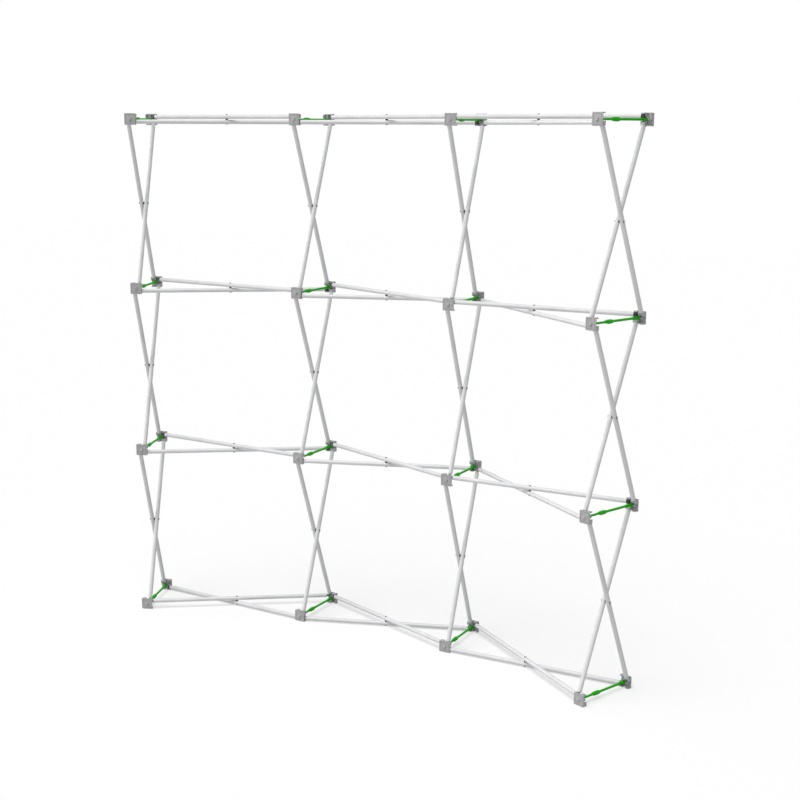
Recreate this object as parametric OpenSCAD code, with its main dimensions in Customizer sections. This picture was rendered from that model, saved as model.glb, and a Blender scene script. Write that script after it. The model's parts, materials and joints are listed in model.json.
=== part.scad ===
// Curved pop-up display frame: a folding lattice of round tubes, corner hubs and lock bars.
// It stands open. Three bays wide, three bays high, its hollow side toward -Y.
// Columns count 1 to 4 from -X to +X, rows 1 to 4 from the floor up.
// Every tube pair crosses at a riveted pivot, and each front hub is held off its back hub
// by a lock bar, whose arm swings up from a pin on the back hub.

/* [Plan] */
// Front pitch of the flat middle bay
mid_pitch = 740; // [500:1:1100]
// Front pitch of each side bay
side_pitch = 736; // [500:1:1100]
// Angle that each side bay turns toward the front
side_turn = 17.5; // [0:0.1:25]
// Angle that the outer columns turn about the vertical
hub_turn = 20.2; // [0:0.1:30]
// Depth over the outer faces of a front and a back hub
depth = 285; // [200:1:400]

/* [Height] */
// Height from one row of hubs to the next
row_pitch = 735; // [500:1:1100]

/* [Hubs] */
// Side of the square hub plate
hub_size = 49.5; // [46:0.5:60]
// Thickness of the hub plate
hub_plate = 3.5; // [3:0.1:3.6]
// Corner radius of the hub plate
hub_corner = 2.5; // [1:0.5:5]
// Depth of the tube pins behind the hub's outer face
pin_deep = 13; // [13:0.5:16]
// Diameter of the hub pins
pin_d = 4; // [3:0.5:5]
// Radius of a hub ear around its pin
ear_r = 6.5; // [5.5:0.5:7]
// Thickness of a hub ear beside the hub's middle
ear_in = 2; // [1.5:0.1:2.2]
// Distance of a tube's pin from the hub's edge
pin_edge = 9; // [8:0.5:10]
// Depth of the wall along the hub's edge, from the hub's outer face
wall_deep = 18; // [17:0.5:22]
// Distance from the hub's middle to the start of that wall
wall_from = 6; // [4:0.5:8]
// Diameter of the round core inside the hub
core_d = 15; // [12:0.5:16.5]
// Depth of the core's end behind the hub's outer face
core_deep = 12; // [8:0.5:13]
// Diameter of the round peg on the hub's face
peg_d = 14; // [10:0.5:16]
// Height of the peg
peg_h = 6; // [4:0.5:8]
// Bevel round the peg's end
peg_bevel = 1.6; // [0.6:0.2:2.4]
// Side of the square groove on the hub's face
groove_side = 40; // [30:1:42]
// Width of the square groove
groove_w = 1.8; // [1:0.2:2.4]

/* [Shared corners] */
// Radius of an ear where two tubes share one corner of a hub
slim_ear_r = 4.3; // [4:0.1:4.6]
// Thickness of a tube end's tongue there
slim_tongue = 4; // [3:0.5:4]
// Thickness of an ear there
slim_ear = 2; // [1.5:0.1:2]

/* [Tubes] */
// Outer diameter of the tubes
tube_d = 18.5; // [14:0.5:18.5]
// Wall thickness of the tubes
tube_wall = 1.1; // [0.8:0.1:2]
// Distance of a tube's centre line from the plane through the hubs' middles
tube_off = 11; // [10.8:0.1:13]
// Distance from a hub pin to the end of the metal tube
tube_gap = 7; // [6.8:0.2:10]
// Thickness of the eye on a tube end
eye_t = 18.4; // [12:0.2:18.4]
// Length of a tube end's plug inside the tube
plug_len = 22; // [12:1:40]
// Thickness of a tube end's collar
collar_t = 1.6; // [1.2:0.1:2]

/* [Pivots] */
// Diameter of the pivot rivets
rivet_d = 4; // [3:0.5:5]
// Diameter of the pivot spacers
spacer_d = 11; // [8:0.5:12]
// Diameter of the pivot caps
cap_d = 10; // [8:0.5:12]
// Height of a pivot cap above the tube
cap_h = 1.2; // [0.8:0.1:3]
// Diameter of the rivets' heads
rivet_head_d = 7; // [6:0.5:9]

/* [Locks] */
// Diameter of the lock arm's rod
rod_d = 10; // [8:0.5:12]
// Diameter of the lock arm's grip
grip_d = 17; // [14:0.5:19]
// Length of the grip with its two tapers
grip_len = 49; // [44:1:64]
// Length of each taper
taper_len = 14; // [8:1:18]
// Distance from the front hub's outer face to the grip's front end
grip_from = 77; // [60:1:100]
// Diameter of the catch stem
stem_d = 9; // [7:0.5:10]
// How far the catch stem reaches into the grip
catch_grip = 20; // [14:1:30]
// Distance of the lock pin in front of the back hub's outer face
lock_deep = 29; // [25:0.5:32]
// Diameter of the lock pin
lock_pin_d = 3; // [2:0.5:4]
// Thickness of the lock arm's flat root
root_t = 6.5; // [5:0.1:7]
// Height of the lock arm's flat root
root_h = 10.5; // [10.5:0.5:13]
// Length of the flat root from the lock pin
root_len = 23; // [18:1:40]
// Thickness of each lug on the lock bracket
lug_t = 2; // [1.5:0.1:3]

/* [Fits] */
// Radial clearance of a fixed pin in its hole
tight = 0.01; // [0:0.01:0.03]
// Radial clearance of a part that turns on a pin
running = 0.05; // [0.02:0.01:0.1]
// Side clearance of an eye between its ears
side_gap = 0.1; // [0.05:0.05:0.3]
// Radial clearance of a plug in its tube
plug_gap = 0.05; // [0.02:0.01:0.2]
// Radial clearance between the catch stem and the grip's slot
slot_gap = 0.04; // [0.02:0.01:0.1]

/* [Hidden] */
$fn = 48;
e = 0.01;
half = hub_size / 2;
pin_short = 0.3;
slot_t = eye_t + 2 * side_gap;
pin_off = half - pin_edge;
slim_slot = slim_tongue + 2 * side_gap;
slim_off = tube_off + slim_slot / 2 + slim_ear + 0.2 + slim_ear_r;
plug_d = tube_d - 2 * tube_wall - 2 * plug_gap;
lug_in = root_t / 2 + side_gap;
lug_r = root_h / 2;
base_t = 3;
base_d = root_h + 1.5;
catch_end = grip_from + catch_grip;
slot_r = stem_d / 2 + slot_gap;
lock_head_t = 0.8;

// Middle of the front hub plate's outer face of each column, seen from above
function side(c) = c < 3 ? -1 : 1;
function inner(c) = c == 2 || c == 3;
function turn(c) = inner(c) ? 0 : -side(c) * hub_turn;
wing_x = mid_pitch / 2 + side_pitch * cos(side_turn);
wing_y = -side_pitch * sin(side_turn);
y_low = wing_y - half * sin(hub_turn);
y_high = depth + peg_h;
y_mid = (y_low + y_high) / 2;
function front_x(c) = side(c) * (inner(c) ? mid_pitch / 2 : wing_x);
function front_y(c) = (inner(c) ? 0 : wing_y) - y_mid;
function row_z(r) = half + (r - 1) * row_pitch;

// Turns a point of a column's own frame (x across, y from front to back) into the row frame
function to_row(c, v) = [
    front_x(c) + v[0] * cos(turn(c)) - v[1] * sin(turn(c)),
    front_y(c) + v[0] * sin(turn(c)) + v[1] * cos(turn(c)),
    v[2]];

// Which way round the tubes of a pair lie: 1 is front-to-back tube low or left, -1 the other way
function lay_w(b, r) = b == 1 ? (r == 1 ? -1 : 1) : (b == 2 ? 1 : (r == 1 ? 1 : -1));
function lay_h(c) = c < 4 ? 1 : -1;

// The four arms of a hub, clockwise from its own right: 1 leans to the next arm, -1 to the last
function lean(c, r, back) = back
    ? [c > 1 ? lay_w(c - 1, r) : lay_h(c), lay_h(c), c < 4 ? lay_w(c, r) : lay_h(c), lay_h(c)]
    : [c < 4 ? lay_w(c, r) : lay_h(c), lay_h(c), c > 1 ? lay_w(c - 1, r) : lay_h(c), lay_h(c)];
function used(c, r, back) = back
    ? [c > 1, r > 1, c < 4, r < 4]
    : [c < 4, r > 1, c > 1, r < 4];
// True where an arm shares its corner of the hub with another tube
function shared(t, u, i) =
    (t[i] == 1 && t[(i + 1) % 4] == -1 && u[(i + 1) % 4])
    || (t[i] == -1 && t[(i + 3) % 4] == 1 && u[(i + 3) % 4]);
function slim(c, r, back, i) = shared(lean(c, r, back), used(c, r, back), i);
function reach(s) = s ? slim_off : pin_off;

// Pins at the two ends of a tube, in the row frame for width tubes and in the column's own
// frame for height tubes. kind 0 runs from a front hub, kind 1 from a back hub.
function w_start(b, r, k) = k == 0
    ? to_row(b, [reach(slim(b, r, false, 0)), pin_deep, row_z(r) - tube_off * lay_w(b, r)])
    : to_row(b, [reach(slim(b, r, true, 2)), depth - pin_deep, row_z(r) + tube_off * lay_w(b, r)]);
function w_end(b, r, k) = k == 0
    ? to_row(b + 1, [-reach(slim(b + 1, r, true, 0)), depth - pin_deep,
        row_z(r) - tube_off * lay_w(b, r)])
    : to_row(b + 1, [-reach(slim(b + 1, r, false, 2)), pin_deep,
        row_z(r) + tube_off * lay_w(b, r)]);
function h_start(c, r, k) = k == 0
    ? [-tube_off * lay_h(c), depth - pin_deep, row_z(r) + reach(slim(c, r, true, 3))]
    : [tube_off * lay_h(c), pin_deep, row_z(r) + reach(slim(c, r, false, 3))];
function h_end(c, r, k) = k == 0
    ? [-tube_off * lay_h(c), pin_deep, row_z(r + 1) - reach(slim(c, r + 1, false, 1))]
    : [tube_off * lay_h(c), depth - pin_deep, row_z(r + 1) - reach(slim(c, r + 1, true, 1))];

// Distance along the line a-b at which it meets the line p-q, seen in the plane of axes i and j
function meet(a, b, p, q, i, j) =
    let (u = b - a, v = q - p, w = p - a)
    norm(u) * (w[i] * v[j] - w[j] * v[i]) / (u[i] * v[j] - u[j] * v[i]);
function along(a, b, s) = a + (b - a) * s / norm(b - a);

// Draws its children with Z along the line from a to b
module on_line(a, b) {
    v = b - a;
    translate(a)
        rotate([0, acos(v[2] / norm(v)), atan2(v[1], v[0])])
            children();
}

module at_column(c) {
    translate([front_x(c), front_y(c), 0])
        rotate(turn(c))
            children();
}

// A cylinder along Y from y0 to y1
module rod_y(d, y0, y1) {
    translate([0, y0, 0])
        rotate([-90, 0, 0])
            cylinder(d = d, h = y1 - y0);
}

// A cylinder along X from x0 to x1
module rod_x(d, x0, x1) {
    translate([x0, 0, 0])
        rotate([0, 90, 0])
            cylinder(d = d, h = x1 - x0);
}

// One ear of a hub arm, from z0 to z1, with its pin hole at off
module ear(off, er, z0, z1) {
    difference() {
        union() {
            translate([off, pin_deep, z0])
                cylinder(r = er, h = z1 - z0);
            translate([off - er, hub_plate - 1, z0])
                cube([2 * er, pin_deep - hub_plate + 1, z1 - z0]);
        }
        translate([off, pin_deep, z0 - 1])
            cylinder(d = pin_d + 2 * tight, h = z1 - z0 + 2);
    }
}

// Wall along the hub's edge: the outer ear of an arm whose tube has the corner to itself
module edge_wall() {
    z0 = tube_off + slot_t / 2;
    flat = half - hub_corner;
    difference() {
        translate([wall_from, hub_plate - 1, z0])
            cube([flat - wall_from, wall_deep - hub_plate + 1, half - z0]);
        translate([pin_off, pin_deep, z0 - 3])
            cylinder(d = pin_d + 2 * tight, h = half - z0 + 4);
    }
}

// The two ears of one hub arm; t is the side to which the arm leans
module arm_ears(t, s) {
    off = reach(s);
    mirror([0, 0, t > 0 ? 1 : 0])
        if (s) {
            ear(off, slim_ear_r, tube_off - slim_slot / 2 - slim_ear, tube_off - slim_slot / 2);
            ear(off, slim_ear_r, tube_off + slim_slot / 2, tube_off + slim_slot / 2 + slim_ear);
        } else {
            ear(off, ear_r, tube_off - slot_t / 2 - ear_in, tube_off - slot_t / 2);
            edge_wall();
        }
}

// Square plate with round corners
module plate() {
    flat = half - hub_corner;
    translate([-half, 0, -flat])
        cube([hub_size, hub_plate, 2 * flat]);
    translate([-flat, 0, -half])
        cube([2 * flat, hub_plate, hub_size]);
    for (x = [-flat, flat], z = [-flat, flat])
        translate([x, 0, z])
            rod_y(2 * hub_corner, 0, hub_plate);
}

// One hub in its own frame: outer face at y = 0, arms toward +Y. Every hub has the same four
// edge walls, and an arm that leans the other way has its own ears besides.
module hub(t, u) {
    difference() {
        union() {
            plate();
            rod_y(core_d, hub_plate / 2, core_deep);
            rod_y(peg_d, -peg_h + peg_bevel, hub_plate / 2);
            translate([0, -peg_h + peg_bevel + e, 0])
                rotate([90, 0, 0])
                    cylinder(d1 = peg_d, d2 = peg_d - 2 * peg_bevel, h = peg_bevel + e);
            for (i = [0:3]) {
                if (u[i] || !shared(t, u, i))
                    rotate([0, 90 * i, 0])
                        arm_ears(t[i], shared(t, u, i));
                if (t[i] != t[1])
                    rotate([0, 90 * i, 0])
                        mirror([0, 0, t[1] > 0 ? 1 : 0])
                            edge_wall();
            }
        }
        rotate([90, 0, 0])
            translate([0, 0, -1])
                linear_extrude(2)
                    difference() {
                        square(groove_side, center = true);
                        square(groove_side - 2 * groove_w, center = true);
                    }
    }
}

// One hub placed in a column's frame
module at_hub(c, r, back) {
    at_column(c)
        translate([0, back ? depth : 0, row_z(r)])
            rotate(back ? 180 : 0)
                children();
}

module front_hubs(c) {
    color([0.64, 0.64, 0.65])
        for (r = [1:4])
            at_hub(c, r, false)
                hub(lean(c, r, false), used(c, r, false));
}

module back_hubs(c) {
    color([0.64, 0.64, 0.65])
        for (r = [1:4])
            at_hub(c, r, true)
                hub(lean(c, r, true), used(c, r, true));
}

// One hollow tube between the pins a and b, drilled at s for its pivot rivet
module tube(a, b, s, drill) {
    len = norm(b - a);
    on_line(a, b)
        difference() {
            translate([0, 0, tube_gap])
                cylinder(d = tube_d, h = len - 2 * tube_gap);
            translate([0, 0, tube_gap - 1])
                cylinder(d = tube_d - 2 * tube_wall, h = len - 2 * tube_gap + 2);
            translate([0, 0, s])
                rotate([0, 90, drill])
                    translate([0, 0, -tube_d])
                        cylinder(d = rivet_d + 2 * running, h = 2 * tube_d);
        }
}

module width_tubes(b, r) {
    color([0.8, 0.8, 0.82])
        for (k = [0:1])
            tube(w_start(b, r, k), w_end(b, r, k), w_cross(b, r, k), 0);
}

module height_tubes(c, r) {
    color([0.8, 0.8, 0.82])
        at_column(c)
            for (k = [0:1])
                tube(h_start(c, r, k), h_end(c, r, k), h_cross(c, r, k), 90);
}

function w_cross(b, r, k) =
    meet(w_start(b, r, k), w_end(b, r, k), w_start(b, r, 1 - k), w_end(b, r, 1 - k), 0, 1);
function h_cross(c, r, k) =
    meet(h_start(c, r, k), h_end(c, r, k), h_start(c, r, 1 - k), h_end(c, r, 1 - k), 1, 2);

// Plastic end of a tube: eye or tongue on the pin, collar, and a plug inside the tube.
// Its pin lies along X turned by drill.
module tube_end(s, drill) {
    t = s ? slim_tongue : eye_t;
    er = (s ? slim_ear_r : ear_r) - 0.3;
    rotate(drill)
        difference() {
            union() {
                rod_x(2 * er, -t / 2, t / 2);
                translate([-t / 2, -er, 0])
                    cube([t, 2 * er, tube_gap - collar_t + 1]);
                translate([0, 0, tube_gap - collar_t])
                    cylinder(d = tube_d, h = collar_t);
                translate([0, 0, tube_gap - e])
                    cylinder(d = plug_d, h = plug_len + e);
            }
            rod_x(pin_d + 2 * running, -t, t);
        }
}

module width_tube_ends() {
    color([0.16, 0.16, 0.17])
        for (b = [1:3], r = [1:4], k = [0:1]) {
            p = w_start(b, r, k);
            q = w_end(b, r, k);
            on_line(p, q)
                tube_end(slim(b, r, k == 1, k == 0 ? 0 : 2), 0);
            on_line(q, p)
                tube_end(slim(b + 1, r, k == 0, k == 0 ? 0 : 2), 0);
        }
}

module height_tube_ends() {
    color([0.16, 0.16, 0.17])
        for (c = [1:4])
            at_column(c)
                for (r = [1:3], k = [0:1]) {
                    p = h_start(c, r, k);
                    q = h_end(c, r, k);
                    on_line(p, q)
                        tube_end(slim(c, r, k == 0, 3), 90);
                    on_line(q, p)
                        tube_end(slim(c, r + 1, k == 1, 1), 90);
                }
}

// One hub pin in the hub's own frame, at the arm on its right
module hub_pin(t, s) {
    off = reach(s);
    w = s ? slim_slot : slot_t;
    z0 = tube_off - w / 2 - (s ? slim_ear : ear_in) + pin_short;
    z1 = (s ? tube_off + w / 2 + slim_ear : half) - pin_short;
    mirror([0, 0, t > 0 ? 1 : 0])
        translate([off, pin_deep, z0])
            cylinder(d = pin_d, h = z1 - z0);
}

// All pins in the arms i0 and i0 + 2 of every hub
module hub_pins(i0) {
    for (c = [1:4], r = [1:4], back = [false, true], i = [i0, i0 + 2])
        if (used(c, r, back)[i])
            at_hub(c, r, back)
                rotate([0, 90 * i, 0])
                    hub_pin(lean(c, r, back)[i], slim(c, r, back, i));
}

module width_hub_pins() {
    color([0.7, 0.7, 0.72])
        hub_pins(0);
}

module height_hub_pins() {
    color([0.7, 0.7, 0.72])
        hub_pins(1);
}

// Places its children at a pivot, with X along the rivet
module at_width_pivot(b, r) {
    translate(along(w_start(b, r, 0), w_end(b, r, 0), w_cross(b, r, 0))
        + [0, 0, tube_off * lay_w(b, r)])
        rotate([0, -90, 0])
            children();
}

module at_height_pivot(c, r) {
    at_column(c)
        translate(along(h_start(c, r, 0), h_end(c, r, 0), h_cross(c, r, 0))
            + [tube_off * lay_h(c), 0, 0])
            children();
}

// The two full bars of a pair's tubes, to cut saddles to their round
module width_pair_bars(b, r) {
    for (k = [0:1])
        on_line(w_start(b, r, k), w_end(b, r, k))
            translate([0, 0, tube_gap])
                cylinder(d = tube_d, h = 2 * (w_cross(b, r, k) - tube_gap));
}

module height_pair_bars(c, r) {
    at_column(c)
        for (k = [0:1])
            on_line(h_start(c, r, k), h_end(c, r, k))
                translate([0, 0, tube_gap])
                    cylinder(d = tube_d, h = 2 * (h_cross(c, r, k) - tube_gap));
}

sink = sqrt(tube_d * tube_d - spacer_d * spacer_d) / 2 + 0.1;
cap_sink = sqrt(tube_d * tube_d - cap_d * cap_d) / 2 + 0.1;
stack = tube_off + tube_d / 2 + cap_h;

module spacer_blank() {
    difference() {
        rod_x(spacer_d, -(tube_off - sink), tube_off - sink);
        rod_x(rivet_d + 2 * running, -tube_off, tube_off);
    }
}

module cap_blank(s) {
    mirror([s, 0, 0])
        difference() {
            rod_x(cap_d, tube_off + cap_sink, stack);
            rod_x(rivet_d + 2 * running, tube_off, stack + 1);
        }
}

module pivot_spacers() {
    color([0.07, 0.07, 0.08]) {
        for (b = [1:3], r = [1:4])
            difference() {
                at_width_pivot(b, r)
                    spacer_blank();
                width_pair_bars(b, r);
            }
        for (c = [1:4], r = [1:3])
            difference() {
                at_height_pivot(c, r)
                    spacer_blank();
                height_pair_bars(c, r);
            }
    }
}

module pivot_caps() {
    color([0.24, 0.24, 0.25]) {
        for (b = [1:3], r = [1:4], s = [0:1])
            difference() {
                at_width_pivot(b, r)
                    cap_blank(s);
                width_pair_bars(b, r);
            }
        for (c = [1:4], r = [1:3], s = [0:1])
            difference() {
                at_height_pivot(c, r)
                    cap_blank(s);
                height_pair_bars(c, r);
            }
    }
}

// Rivet through both tubes, spacer and caps, with a flat head at each end
module rivet() {
    rod_x(rivet_d, -stack - 0.5, stack + 0.5);
    for (s = [0:1])
        mirror([s, 0, 0])
            rod_x(rivet_head_d, stack, stack + 0.8);
}

module pivot_rivets() {
    color([0.75, 0.75, 0.77]) {
        for (b = [1:3], r = [1:4])
            at_width_pivot(b, r)
                rivet();
        for (c = [1:4], r = [1:3])
            at_height_pivot(c, r)
                rivet();
    }
}

// Lock bracket on the back hub: round base and two lugs with the pin holes between
module lock_bracket() {
    difference() {
        union() {
            rod_y(base_d, depth - core_deep - base_t, depth - core_deep);
            for (s = [-1, 1])
                translate([s * (lug_in + lug_t / 2), 0, 0]) {
                    translate([0, depth - lock_deep, 0])
                        rod_x(2 * lug_r, -lug_t / 2, lug_t / 2);
                    translate([-lug_t / 2, depth - lock_deep, -lug_r])
                        cube([lug_t, lock_deep - core_deep - 1, 2 * lug_r]);
                }
        }
        translate([0, depth - lock_deep, 0])
            rod_x(lock_pin_d + 2 * tight, -base_d, base_d);
    }
}

module lock_brackets() {
    color([0.16, 0.58, 0.1])
        for (c = [1:4], r = [1:4])
            at_column(c)
                translate([0, 0, row_z(r)])
                    lock_bracket();
}

module lock_pins() {
    x1 = lug_in + lug_t;
    color([0.7, 0.7, 0.72])
        for (c = [1:4], r = [1:4])
            at_column(c)
                translate([0, depth - lock_deep, row_z(r)]) {
                    rod_x(lock_pin_d, -x1, x1);
                    rod_x(lock_pin_d + 2, -x1 - lock_head_t, -x1);
                    rod_x(lock_pin_d + 2, x1, x1 + lock_head_t);
                }
}

// Catch on the front hub: a stem that the grip's slot drops over
module lock_catches() {
    color([0.16, 0.58, 0.1])
        for (c = [1:4], r = [1:4])
            at_column(c)
                translate([0, 0, row_z(r)]) {
                    rod_y(base_d, core_deep, core_deep + base_t);
                    rod_y(stem_d, core_deep, catch_end);
                }
}

// Lock arm: eye on the lock pin, flat root, round rod, and the grip with its slot open below
module lock_arm(c, r) {
    py = depth - lock_deep;
    g1 = grip_from + grip_len;
    color([0.16, 0.62, 0.11])
        at_column(c)
            translate([0, 0, row_z(r)])
                difference() {
                    union() {
                        translate([0, py, 0])
                            rod_x(root_h, -root_t / 2, root_t / 2);
                        translate([-root_t / 2, py - root_len, -root_h / 2])
                            cube([root_t, root_len, root_h]);
                        rod_y(rod_d, g1 - 1, py - root_len + 4);
                        rod_y(grip_d, grip_from + taper_len, g1 - taper_len);
                        translate([0, grip_from, 0])
                            rotate([-90, 0, 0])
                                cylinder(d1 = stem_d + 2.6, d2 = grip_d, h = taper_len);
                        translate([0, g1 - taper_len, 0])
                            rotate([-90, 0, 0])
                                cylinder(d1 = grip_d, d2 = rod_d, h = taper_len);
                    }
                    translate([0, py, 0])
                        rod_x(lock_pin_d + 2 * running, -root_t, root_t);
                    rod_y(2 * slot_r, grip_from - 1, catch_end + 0.8);
                    translate([-slot_r, grip_from - 1, -grip_d])
                        cube([2 * slot_r, catch_grip + 1.8, grip_d]);
                }
}

front_hubs(1);  // front_hubs_c1
front_hubs(2);  // front_hubs_c2
front_hubs(3);  // front_hubs_c3
front_hubs(4);  // front_hubs_c4
back_hubs(1);  // back_hubs_c1
back_hubs(2);  // back_hubs_c2
back_hubs(3);  // back_hubs_c3
back_hubs(4);  // back_hubs_c4
width_tubes(1, 1);  // width_tubes_b1_r1
width_tubes(1, 2);  // width_tubes_b1_r2
width_tubes(1, 3);  // width_tubes_b1_r3
width_tubes(1, 4);  // width_tubes_b1_r4
width_tubes(2, 1);  // width_tubes_b2_r1
width_tubes(2, 2);  // width_tubes_b2_r2
width_tubes(2, 3);  // width_tubes_b2_r3
width_tubes(2, 4);  // width_tubes_b2_r4
width_tubes(3, 1);  // width_tubes_b3_r1
width_tubes(3, 2);  // width_tubes_b3_r2
width_tubes(3, 3);  // width_tubes_b3_r3
width_tubes(3, 4);  // width_tubes_b3_r4
height_tubes(1, 1);  // height_tubes_c1_s1
height_tubes(1, 2);  // height_tubes_c1_s2
height_tubes(1, 3);  // height_tubes_c1_s3
height_tubes(2, 1);  // height_tubes_c2_s1
height_tubes(2, 2);  // height_tubes_c2_s2
height_tubes(2, 3);  // height_tubes_c2_s3
height_tubes(3, 1);  // height_tubes_c3_s1
height_tubes(3, 2);  // height_tubes_c3_s2
height_tubes(3, 3);  // height_tubes_c3_s3
height_tubes(4, 1);  // height_tubes_c4_s1
height_tubes(4, 2);  // height_tubes_c4_s2
height_tubes(4, 3);  // height_tubes_c4_s3
width_tube_ends();
height_tube_ends();
width_hub_pins();
height_hub_pins();
pivot_spacers();
pivot_caps();
pivot_rivets();
lock_brackets();
lock_pins();
lock_catches();
lock_arm(1, 1);  // lock_arm_c1_r1
lock_arm(1, 2);  // lock_arm_c1_r2
lock_arm(1, 3);  // lock_arm_c1_r3
lock_arm(1, 4);  // lock_arm_c1_r4
lock_arm(2, 1);  // lock_arm_c2_r1
lock_arm(2, 2);  // lock_arm_c2_r2
lock_arm(2, 3);  // lock_arm_c2_r3
lock_arm(2, 4);  // lock_arm_c2_r4
lock_arm(3, 1);  // lock_arm_c3_r1
lock_arm(3, 2);  // lock_arm_c3_r2
lock_arm(3, 3);  // lock_arm_c3_r3
lock_arm(3, 4);  // lock_arm_c3_r4
lock_arm(4, 1);  // lock_arm_c4_r1
lock_arm(4, 2);  // lock_arm_c4_r2
lock_arm(4, 3);  // lock_arm_c4_r3
lock_arm(4, 4);  // lock_arm_c4_r4
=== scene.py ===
# %% [markdown]
# # A folding display frame, standing open
# The real object is a lattice of crossing aluminium tubes between plastic hubs, held open by green
# lock bars. All of its shapes come from the CAD model, which is loaded as a fixed frame. What
# Blender adds is what CAD can't give: finishes, small soft edges, light and the camera.
# We could also model the tubes again here, but then two models would have to agree, so we don't.

# %% Load the frame
import bpy, json, math
from mathutils import Matrix, Vector

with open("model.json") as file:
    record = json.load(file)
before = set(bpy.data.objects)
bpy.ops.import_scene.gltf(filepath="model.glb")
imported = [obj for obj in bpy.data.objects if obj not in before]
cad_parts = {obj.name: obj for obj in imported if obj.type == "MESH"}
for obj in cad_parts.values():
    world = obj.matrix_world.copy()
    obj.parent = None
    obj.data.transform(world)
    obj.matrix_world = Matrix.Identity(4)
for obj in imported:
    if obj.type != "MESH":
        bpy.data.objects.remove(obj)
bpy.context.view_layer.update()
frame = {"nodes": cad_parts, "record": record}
nodes = frame["nodes"]

# %% [markdown]
# ## The camera
# A photograph fixes where the camera stood: straight tubes of known length draw lines that meet
# at known points. The place, turns and focal length below make every hub land on its hub in the
# picture. Blender's camera looks along its own -Z, so its matrix has three columns: right, up and
# backwards.

# %% Where the camera stands and looks
PLACE = Vector((2.84011, -4.82224, 2.19496))
TURN, TILT, ROLL = (math.radians(a) for a in (29.326, 11.492, 0.208))

forward = Vector((-math.sin(TURN) * math.cos(TILT),
                  math.cos(TURN) * math.cos(TILT),
                  -math.sin(TILT)))
level = Vector((math.cos(TURN), math.sin(TURN), 0))
across = math.cos(ROLL) * level + math.sin(ROLL) * level.cross(forward)
above = across.cross(forward)
print("looking along", tuple(round(v, 3) for v in forward))

# %% The camera itself
FILM_WIDTH, LENS = 36, 60.162    # millimetres
FARTHEST = 100    # metres

camera = bpy.data.objects.new("photo_camera", bpy.data.cameras.new("photo_camera"))
camera.data.sensor_width, camera.data.lens = FILM_WIDTH, LENS
camera.data.clip_end = FARTHEST
axes = Matrix((across, above, -forward)).transposed().to_4x4()
camera.matrix_world = Matrix.Translation(PLACE) @ axes
bpy.context.collection.objects.link(camera)
bpy.context.scene.camera = camera
bpy.context.scene.view_settings.view_transform = "Standard"
print("camera at", tuple(round(v, 2) for v in PLACE), "lens", LENS, "mm")

# %% [markdown]
# ## Light
# The picture is a cut-out on white. Reading it like a light meter: tops of tubes and hubs are
# nearly white, left sides are bright, faces toward the viewer are grey, right sides are darkest,
# and undersides are bright again wherever they see the white floor. All front plates are equally
# grey, though the outer ones are turned inward, so the light on them comes from near the front.
# So a dim even world fills the shadows, one lamp shines from above, a weaker one from the left and
# the weakest from the front left, and the floor gives the rest. Camera and mirror rays see plain
# white instead of the dim world, so the background is white without flooding the object with light.

# %% A helper for shader nodes
WHITE = (1, 1, 1, 1)


def add(tree, kind, inputs=None, **settings):
    """Adds a shader node, sets its settings, then its unlinked inputs by name or number."""
    node = tree.nodes.new(kind)
    for key, value in settings.items():
        setattr(node, key, value)
    for key, value in (inputs or {}).items():
        node.inputs[key].default_value = value
    return node


print("a helper, and white as", WHITE)

# %% World
WORLD_LIGHT = 0.27
PLAIN_WHITE = 1.0

world = bpy.data.worlds.new("white_room")
world.use_nodes = True
tree = world.node_tree
tree.nodes.clear()
path = add(tree, "ShaderNodeLightPath")
seen = add(tree, "ShaderNodeMath", operation="MAXIMUM")
lit = add(tree, "ShaderNodeBackground", {"Color": WHITE, "Strength": WORLD_LIGHT})
white = add(tree, "ShaderNodeBackground", {"Color": WHITE, "Strength": PLAIN_WHITE})
mix = add(tree, "ShaderNodeMixShader")
out = add(tree, "ShaderNodeOutputWorld")
tree.links.new(path.outputs["Is Camera Ray"], seen.inputs[0])
tree.links.new(path.outputs["Is Glossy Ray"], seen.inputs[1])
tree.links.new(seen.outputs[0], mix.inputs[0])
tree.links.new(lit.outputs[0], mix.inputs[1])
tree.links.new(white.outputs[0], mix.inputs[2])
tree.links.new(mix.outputs[0], out.inputs[0])
bpy.context.scene.world = world
print("world light", WORLD_LIGHT)

# %% Lamps
def lamp(name, toward, strength, spread):
    """A soft sun; toward is the direction from the object to the lamp, spread is in degrees."""
    light = bpy.data.objects.new(name, bpy.data.lights.new(name, "SUN"))
    light.data.energy = strength
    light.data.angle = math.radians(spread)
    light.rotation_euler = Vector(toward).to_track_quat("Z", "Y").to_euler()
    bpy.context.collection.objects.link(light)
    print("lamp", name, "strength", strength)


lamp("lamp_above", toward=(-0.10, -0.40, 1.0), strength=2.2, spread=48)
lamp("lamp_left", toward=(-1.0, 0.18, 0.05), strength=1.4, spread=50)
lamp("lamp_front", toward=(-0.6, -1.0, 0.05), strength=0.8, spread=50)

# %% [markdown]
# ## The floor
# The frame stands on a floor so white that only its soft shadow shows. For the camera the floor
# gives out about half of its white itself, and a diffuse half darkens where light is kept off. All
# other rays meet a plain pale floor, which sends soft light up to the undersides of the tubes.

# %% Floor mesh
import bmesh

FLOOR_REACH = 20    # metres to each side
FLOOR_CELLS = 8


def floor_mesh(name):
    """A flat grid, so the floor is one mesh built point by point."""
    bm = bmesh.new()
    bmesh.ops.create_grid(bm, x_segments=FLOOR_CELLS, y_segments=FLOOR_CELLS, size=1)
    for v in bm.verts:
        v.co = Vector((v.co.x * FLOOR_REACH, v.co.y * FLOOR_REACH, 0.0))
    mesh = bpy.data.meshes.new(name)
    bm.to_mesh(mesh)
    bm.free()
    return mesh


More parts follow.
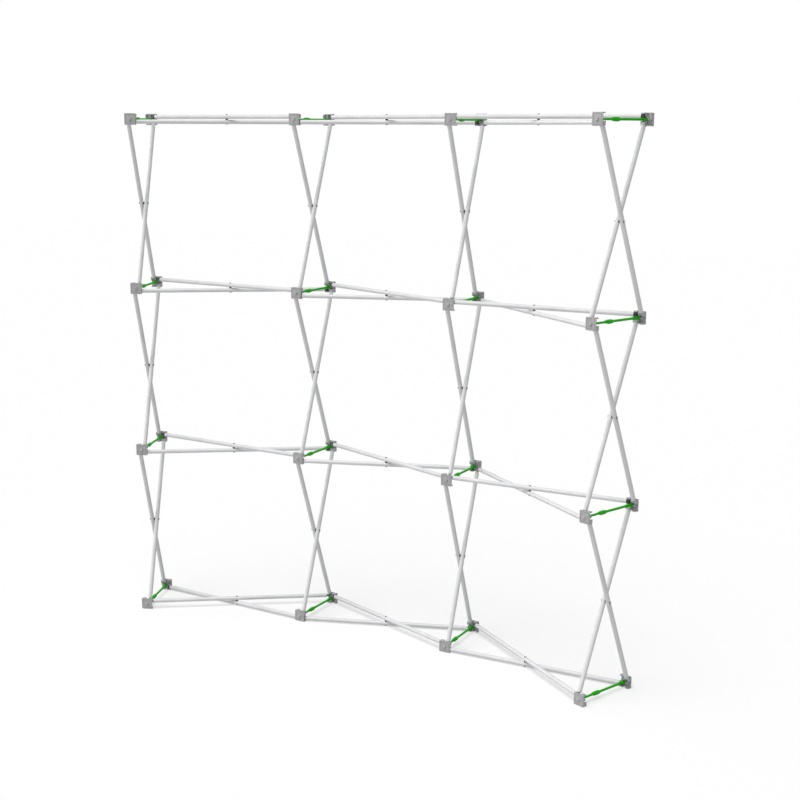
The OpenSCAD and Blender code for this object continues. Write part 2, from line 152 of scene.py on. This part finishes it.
floor = bpy.data.objects.new("floor", floor_mesh("floor"))
bpy.context.collection.objects.link(floor)
print("floor", len(floor.data.vertices), "points")

# %% Floor finish
FLOOR_BOUNCE = 0.70    # what the object's light sees
FLOOR_SHADE, FLOOR_GLOW = 0.54, 0.455    # what the camera sees


def grey(value):
    return (value, value, value, 1)


floor_white = bpy.data.materials.new("floor_white")
floor_white.use_nodes = True
tree = floor_white.node_tree
tree.nodes.clear()
path = add(tree, "ShaderNodeLightPath")
pale = add(tree, "ShaderNodeBsdfDiffuse", {"Color": grey(FLOOR_BOUNCE)})
shade = add(tree, "ShaderNodeBsdfDiffuse", {"Color": grey(FLOOR_SHADE)})
glow = add(tree, "ShaderNodeEmission", {"Color": WHITE, "Strength": FLOOR_GLOW})
both = add(tree, "ShaderNodeAddShader")
mix = add(tree, "ShaderNodeMixShader")
out = add(tree, "ShaderNodeOutputMaterial")
tree.links.new(shade.outputs[0], both.inputs[0])
tree.links.new(glow.outputs[0], both.inputs[1])
tree.links.new(path.outputs["Is Camera Ray"], mix.inputs[0])
tree.links.new(pale.outputs[0], mix.inputs[1])
tree.links.new(both.outputs[0], mix.inputs[2])
tree.links.new(mix.outputs[0], out.inputs[0])
floor.data.materials.append(floor_white)
print("floor finish", floor_white.name)

# %% [markdown]
# ## Finishes
# Every finish here is one Principled shader with the same three helpers: a slow noise that shifts
# the colour a little, a fine noise that shifts the gloss, and a fine bump. Plastic and metal then
# differ only in their numbers. The Bevel node rounds each sharp edge for the light alone, by half
# a millimetre, which is what a moulded or deburred edge does, and it needs no extra faces.

# %% One maker for all finishes
EDGE = 0.0005    # metres that the light sees each edge rounded by
BUMP_DEPTH = 0.0003    # metres
NOISE_LOW, NOISE_HIGH = 0.3, 0.7    # where most of a noise's values lie


def finish(name, dark, light, rough, blotch, grain, bump, metallic=0.0, **sockets):
    """A procedural finish. blotch and grain are noise scales per metre, rough is (low, high)."""
    material = bpy.data.materials.new(name)
    material.use_nodes = True
    tree = material.node_tree
    shader = tree.nodes["Principled BSDF"]
    shader.inputs["Metallic"].default_value = metallic
    for key, value in sockets.items():
        shader.inputs[key.replace("_", " ")].default_value = value
    place = add(tree, "ShaderNodeTexCoord").outputs["Object"]
    slow = add(tree, "ShaderNodeTexNoise", {"Scale": blotch, "Detail": 4.0, "Roughness": 0.55})
    fine = add(tree, "ShaderNodeTexNoise", {"Scale": grain, "Detail": 3.0, "Roughness": 0.6})
    tint = add(tree, "ShaderNodeValToRGB")
    ends = tint.color_ramp.elements
    ends[0].position, ends[1].position = NOISE_LOW, NOISE_HIGH
    ends[0].color, ends[1].color = (*dark, 1), (*light, 1)
    gloss = add(tree, "ShaderNodeMapRange", {"From Min": NOISE_LOW, "From Max": NOISE_HIGH,
                                             "To Min": rough[0], "To Max": rough[1]})
    soft = add(tree, "ShaderNodeBevel", {"Radius": EDGE}, samples=6)
    relief = add(tree, "ShaderNodeBump", {"Strength": bump, "Distance": BUMP_DEPTH})
    for noise in (slow, fine):
        tree.links.new(place, noise.inputs["Vector"])
    tree.links.new(slow.outputs["Fac"], tint.inputs["Fac"])
    tree.links.new(tint.outputs["Color"], shader.inputs["Base Color"])
    tree.links.new(fine.outputs["Fac"], gloss.inputs["Value"])
    tree.links.new(gloss.outputs["Result"], shader.inputs["Roughness"])
    tree.links.new(fine.outputs["Fac"], relief.inputs["Height"])
    tree.links.new(soft.outputs["Normal"], relief.inputs["Normal"])
    tree.links.new(relief.outputs["Normal"], shader.inputs["Normal"])
    print("finish", name)
    return material


# %% [markdown]
# The tubes are natural aluminium, drawn and matt anodised: bright, without a mirror's sharp
# reflections. Full metal would show only the white room and lose its round shading, so the metal
# part is kept small, as the anodised skin scatters light like a pale paint over the metal. The
# pins and rivets are plated steel, which is nearly all metal.

# %% Metal finishes
tube_metal = finish("satin_aluminium", dark=(0.66, 0.66, 0.67), light=(0.74, 0.74, 0.75),
                    rough=(0.38, 0.50), blotch=14, grain=900, bump=0.10, metallic=0.06)
pin_steel = finish("plated_steel", dark=(0.60, 0.60, 0.62), light=(0.72, 0.72, 0.74),
                   rough=(0.25, 0.38), blotch=60, grain=1500, bump=0.08, metallic=0.8)

# %% [markdown]
# Hubs are light moulded plastic with a fine eroded grain. The width tubes end in dark plastic, and
# the height tubes in the same light plastic as the hubs. Spacers and caps at the pivots are small
# and nearly black, and show as dark dots from afar.

# %% Grey and black plastics
hub_plastic = finish("grey_moulding", dark=(0.38, 0.38, 0.385), light=(0.44, 0.44, 0.445),
                     rough=(0.45, 0.6), blotch=35, grain=1400, bump=0.25)
end_plastic = finish("tube_end_moulding", dark=(0.040, 0.040, 0.042), light=(0.060, 0.060, 0.063),
                     rough=(0.45, 0.6), blotch=40, grain=1400, bump=0.2)
spacer_plastic = finish("black_spacer", dark=(0.006, 0.006, 0.007), light=(0.014, 0.014, 0.015),
                        rough=(0.4, 0.55), blotch=60, grain=1500, bump=0.15)
cap_plastic = finish("cap_dark", dark=(0.045, 0.045, 0.047), light=(0.075, 0.075, 0.078),
                     rough=(0.45, 0.6), blotch=60, grain=1500, bump=0.15)

# %% [markdown]
# The lock bars are a smoother plastic in a strong green, which is the one colour of the object.
# A usual plastic's shine would wash the green out with the room's white, so its specular level is
# low.

# %% Green plastic
lock_plastic = finish("lock_green", dark=(0.013, 0.400, 0.001), light=(0.020, 0.460, 0.002),
                      rough=(0.3, 0.42), blotch=30, grain=1100, bump=0.12,
                      Specular_IOR_Level=0.1)

# %% [markdown]
# ## Dressing the frame
# The record says which material slot each CAD node has, so one table from slot to finish dresses
# all nodes. Nothing is made anew, so every hub, tube and lock keeps the CAD model's exact shape.

# %% Dress every node
DRESS = {
    "hub_plastic": hub_plastic, "tube_metal": tube_metal, "end_plastic": end_plastic,
    "pin_steel": pin_steel, "spacer_plastic": spacer_plastic, "cap_plastic": cap_plastic,
    "lock_plastic": lock_plastic, "lock_arm_plastic": lock_plastic,
}
for part in frame["record"]["subparts"]:
    mesh = nodes[part["node"]].data
    mesh.materials.clear()
    mesh.materials.append(DRESS[part["material_slot"]])
